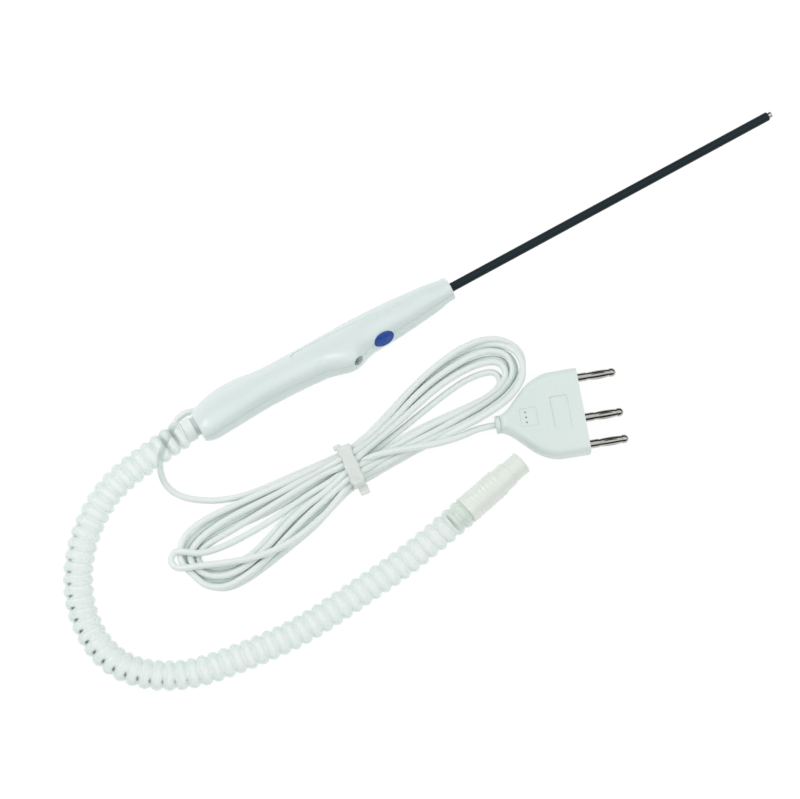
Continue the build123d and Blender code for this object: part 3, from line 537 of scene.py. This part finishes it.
# Painted grey shade in the first grooves beside the cuff, with the fade of each
cuff_groove_width = 0.34
painted_cuff_shade = 0.8
cuff_groove_span = math.radians(75.0)
cuff_fades = {1: 1.0, 2: 0.9, 3: 0.3}


def finish_mesh(shape, name, finish, smooth=True):
    """Mesh object from a bmesh, with its place in the mesh."""
    mesh = bpy.data.meshes.new(name)
    shape.to_mesh(mesh)
    shape.free()
    mesh.materials.append(finish.material)
    for face in mesh.polygons:
        face.use_smooth = smooth
    piece = bpy.data.objects.new(name, mesh)
    bpy.context.scene.collection.objects.link(piece)
    return piece


def revolved(profile, sides):
    """Closed shape from a closed profile of (x, radius) points in mm, spun about X."""
    shape = bmesh.new()
    vertices = [shape.verts.new((x, 0.0, r)) for x, r in profile]
    edges = [shape.edges.new(pair) for pair in zip(vertices, vertices[1:] + vertices[:1])]
    bmesh.ops.spin(
        shape, geom=vertices + edges, cent=(0, 0, 0), axis=(1, 0, 0), dvec=(0, 0, 0),
        angle=math.tau, steps=sides, use_merge=True,
    )
    bmesh.ops.recalc_face_normals(shape, faces=shape.faces)
    return shape


def bend_along(shape, points):
    """Moves a straight shape in mm on to a path in metres. Its X is the distance along the path."""
    steps = [b - a for a, b in zip(points, points[1:])]
    lengths = [0.0]
    for step in steps:
        lengths.append(lengths[-1] + step.length / MM)
    sideways = Vector((0, 0, 1)).cross(steps[0]).normalized()
    sides = []
    for step in steps:
        direction = step.normalized()
        sideways = (sideways - direction * sideways.dot(direction)).normalized()
        sides.append(sideways.copy())
    tangents = [step.normalized() for step in steps]

    def frame_at(distance):
        low, high = 0, len(steps) - 1
        while low < high:
            middle = (low + high + 1) // 2
            if lengths[middle] <= distance:
                low = middle
            else:
                high = middle - 1
        index = low
        span = lengths[index + 1] - lengths[index]
        part = (distance - lengths[index]) / span
        place = points[index] + steps[index] * part
        near, far = max(index - 1, 0), min(index + 1, len(steps) - 1)
        if part < 0.5:
            direction = tangents[near].lerp(tangents[index], 0.5 + part)
            side = sides[near].lerp(sides[index], 0.5 + part)
        else:
            direction = tangents[index].lerp(tangents[far], part - 0.5)
            side = sides[index].lerp(sides[far], part - 0.5)
        direction.normalize()
        side = (side - direction * side.dot(direction)).normalized()
        return place, side, direction.cross(side)

    frames = {}
    for vertex in shape.verts:
        key = round(vertex.co.x, 5)
        if key not in frames:
            frames[key] = frame_at(vertex.co.x)
        place, side, up = frames[key]
        vertex.co = place + side * vertex.co.y * MM + up * vertex.co.z * MM


hose_line = nurbs_curve("hose_line", [hose_start] + hose_route, 0.0, hose_steps)
hose_path = centreline(hose_line)
bpy.data.objects.remove(hose_line)
hose_length = line_length(hose_path)
rib_count = round(hose_length / MM / rib_pitch)
pitch = hose_length / MM / rib_count
outer_line = []
for index in range(rib_count * rib_steps + 1):
    part = (index / rib_steps) % 1.0
    bump = abs(math.sin(math.pi * part)) ** rib_fullness
    outer_line.append((index * pitch / rib_steps, hose_radius - rib_depth * (1.0 - bump)))
inner_line = [(x, r - hose_wall) for x, r in reversed(outer_line)]
hose_shape = revolved(outer_line + inner_line, hose_sides)
# How strongly each vertex takes the painted dark reflections and the painted shade by the cuff
painted_shade_layer = hose_shape.verts.layers.float.new("painted_shade_and_glint")
for vertex in hose_shape.verts:
    ring_place = vertex.co.x / pitch
    depth_share = max(0.0, 1.0 - abs(ring_place - round(ring_place)) / groove_width)
    bend_share = max(0.0, 1.0 - abs(vertex.co.x - groove_middle) / groove_reach)
    turn = math.atan2(-vertex.co.y, vertex.co.z)
    side_share = max(0.0, 1.0 - abs(turn - groove_turn) / groove_span)
    if Vector((vertex.co.y, vertex.co.z)).length > hose_radius - rib_depth - hose_wall / 2:
        glint = painted_glint_strength * depth_share * side_share * bend_share ** 0.5
        # Painted grey shade in the first grooves beside the cuff
        cuff_depth = max(0.0, 1.0 - abs(ring_place - round(ring_place)) / cuff_groove_width)
        cuff_side = max(0.0, 1.0 - abs(turn) / cuff_groove_span) ** 0.5
        cuff_fade = cuff_fades.get(round(ring_place), 0.0)
        painted_cuff_band = painted_cuff_shade * cuff_depth * cuff_side * cuff_fade
        vertex[painted_shade_layer] = min(1.0, max(glint, painted_cuff_band))
bend_along(hose_shape, hose_path)
hose = finish_mesh(hose_shape, "smoke_hose_tube", hose_finish)
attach(hose, BODY)
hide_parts("smoke_hose")


# ---------------------------------------------------------------- tie
tie_band_width = 6.2
tie_band_thickness = 0.8
tie_half_length = 10.6
tie_top = 10.2
tie_outline_steps = 44
tie_columns = 8
tie_fullness = 0.42
tie_strand_run = 5.2
tie_lean = math.radians(-6.0)
tie_tab_rounding = 0.6
# Middle and size of the tab at each end
tie_tabs = [((-2.3, 10.9, 4.6), (3.6, 2.6, 1.5)), ((1.3, -12.0, 4.0), (4.4, 4.4, 1.8))]


def make_tie():
    """Soft band round the bundle, pinched a little between strands, with a tab at each end."""
    outline = []
    half_length = tie_half_length - tie_band_thickness / 2
    for index in range(tie_outline_steps):
        angle = math.tau * index / tie_outline_steps
        across, up = math.cos(angle), math.sin(angle)
        y = math.copysign(abs(across) ** tie_fullness, across) * half_length
        z = math.copysign(abs(up) ** tie_fullness, up) * (tie_top - tie_band_thickness) / 2
        outline.append((y, z + tie_top / 2, max(up, 0.0)))
    shape = bmesh.new()
    rows = []
    for column in range(tie_columns + 1):
        x = tie_band_width * (column / tie_columns - 0.5)
        row = []
        for y, z, above in outline:
            # Hollows between strands, fine creases, and an edge that isn't quite straight
            hollow = 0.35 * math.cos(y * math.tau / tie_strand_run + 0.5 * x)
            crease = 0.2 * math.sin(1.3 * x + 0.8 * y)
            edge = 0.35 * math.sin(0.9 * y + 1.0)
            place = (x + edge * 2 * x / tie_band_width, y, z + above * (hollow + crease))
            row.append(shape.verts.new(place))
        rows.append(row)
    for near, far in zip(rows, rows[1:]):
        for index in range(tie_outline_steps):
            after = (index + 1) % tie_outline_steps
            shape.faces.new((near[index], near[after], far[after], far[index]))
    bmesh.ops.recalc_face_normals(shape, faces=shape.faces)
    bmesh.ops.solidify(shape, geom=shape.faces[:], thickness=tie_band_thickness)
    bmesh.ops.recalc_face_normals(shape, faces=shape.faces)
    for centre, size in tie_tabs:
        place = Matrix.Translation(centre) @ Matrix.Diagonal((*size, 1.0))
        tab = bmesh.ops.create_cube(shape, size=1.0, matrix=place)
        edges = {edge for vertex in tab["verts"] for edge in vertex.link_edges}
        bmesh.ops.bevel(
            shape, geom=list(edges), offset=tie_tab_rounding, segments=3, affect="EDGES",
            profile=0.5,
        )
    lean = Matrix.Rotation(tie_lean, 4, "Z")
    bmesh.ops.transform(shape, matrix=lean, verts=shape.verts)
    place = Matrix.Translation((tie_place[0] * MM, tie_place[1] * MM, 0.0)) @ Matrix.Scale(MM, 4)
    bmesh.ops.transform(shape, matrix=place, verts=shape.verts)
    return finish_mesh(shape, "tie_band", tie_finish)


tie = make_tie()
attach(tie, BODY)
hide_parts("cord_tie")

plug_nodes = ["plug_body"]
plug_nodes += [f"{name}_{index}" for name in ("plug_pin", "pin_spring") for index in (1, 2, 3)]


# ---------------------------------------------------------------- floor, world and lamps
floor_half_size = 4.0
floor_glow = 1.06
floor_glow_share = 0.87
light_level = 0.62
scene_middle = (-0.06, -0.03, 0.0)


def visible_rays(nodes, links):
    """1 for what the camera, a mirror or glass sees, and 0 for light that falls on the object."""
    path = nodes.new("ShaderNodeLightPath")
    value = path.outputs["Is Camera Ray"]
    for name in ("Is Glossy Ray", "Is Transmission Ray"):
        node = nodes.new("ShaderNodeMath")
        node.operation = "MAXIMUM"
        links.new(value, node.inputs[0])
        links.new(path.outputs[name], node.inputs[1])
        value = node.outputs["Value"]
    return value


floor_shape = bmesh.new()
bmesh.ops.create_grid(floor_shape, x_segments=1, y_segments=1, size=floor_half_size)
bmesh.ops.translate(floor_shape, vec=scene_middle, verts=floor_shape.verts)
floor_finish = Finish("floor_white", (0.9, 0.9, 0.9), 0.9)
glow = floor_finish.nodes.new("ShaderNodeEmission")
glow.inputs["Color"].default_value = (1.0, 1.0, 1.0, 1.0)
glow.inputs["Strength"].default_value = floor_glow
share = floor_finish.nodes.new("ShaderNodeMath")
share.operation = "MULTIPLY"
share.inputs[1].default_value = floor_glow_share
floor_finish.links.new(visible_rays(floor_finish.nodes, floor_finish.links), share.inputs[0])
blend = floor_finish.nodes.new("ShaderNodeMixShader")
floor_finish.links.new(share.outputs["Value"], blend.inputs["Fac"])
floor_finish.links.new(floor_finish.shader.outputs["BSDF"], blend.inputs[1])
floor_finish.links.new(glow.outputs["Emission"], blend.inputs[2])
floor_output = floor_finish.nodes["Material Output"]
floor_finish.links.new(blend.outputs["Shader"], floor_output.inputs["Surface"])
floor = finish_mesh(floor_shape, "floor", floor_finish, False)

world = bpy.data.worlds.new("studio")
bpy.context.scene.world = world
world.use_nodes = True
world_nodes, world_links = world.node_tree.nodes, world.node_tree.links
background = world_nodes["Background"]
background.inputs["Color"].default_value = (1.0, 1.0, 1.0, 1.0)
level = world_nodes.new("ShaderNodeMapRange")
level.inputs["To Min"].default_value = light_level
level.inputs["To Max"].default_value = 1.0
world_links.new(visible_rays(world_nodes, world_links), level.inputs["Value"])

# A studio that mirrored rays see: a bright ceiling, dark walls and a bright strip over the floor
studio_path = world_nodes.new("ShaderNodeLightPath")
studio_side = world_nodes.new("ShaderNodeTexCoord")
studio_split = world_nodes.new("ShaderNodeSeparateXYZ")
studio_height = world_nodes.new("ShaderNodeMath")
studio_height.operation = "ABSOLUTE"
studio_walls = world_nodes.new("ShaderNodeValToRGB")
wall_steps = [(0.0, 0.6), (0.06, 0.5), (0.12, 0.02), (0.70, 0.03), (0.84, 0.9), (1.0, 1.0)]
while len(studio_walls.color_ramp.elements) < len(wall_steps):
    studio_walls.color_ramp.elements.new(0.5)
for element, (place, grey) in zip(studio_walls.color_ramp.elements, wall_steps):
    element.position = place
    element.color = (grey, grey, grey, 1.0)
world_links.new(studio_side.outputs["Generated"], studio_split.inputs["Vector"])
world_links.new(studio_split.outputs["Z"], studio_height.inputs[0])
world_links.new(studio_height.outputs["Value"], studio_walls.inputs["Fac"])
studio_mix = world_nodes.new("ShaderNodeMix")
studio_mix.data_type = "FLOAT"
world_links.new(studio_path.outputs["Is Glossy Ray"], studio_mix.inputs["Factor"])
world_links.new(level.outputs["Result"], studio_mix.inputs["A"])
world_links.new(studio_walls.outputs["Color"], studio_mix.inputs["B"])
world_links.new(studio_mix.outputs["Result"], background.inputs["Strength"])


def add_lamp(name, place, size, power):
    """Square lamp that faces the middle of the object."""
    lamp = bpy.data.lights.new(name, "AREA")
    lamp.shape = "SQUARE"
    lamp.size = size
    lamp.energy = power
    piece = bpy.data.objects.new(name, lamp)
    piece.location = place
    direction = Vector(place) - Vector(scene_middle)
    piece.rotation_euler = direction.to_track_quat("Z", "Y").to_euler()
    bpy.context.scene.collection.objects.link(piece)


add_lamp("key_lamp", (-0.9, 0.9, 1.3), 0.9, 9.0)
add_lamp("fill_lamp", (0.9, -0.7, 1.1), 1.1, 4.0)
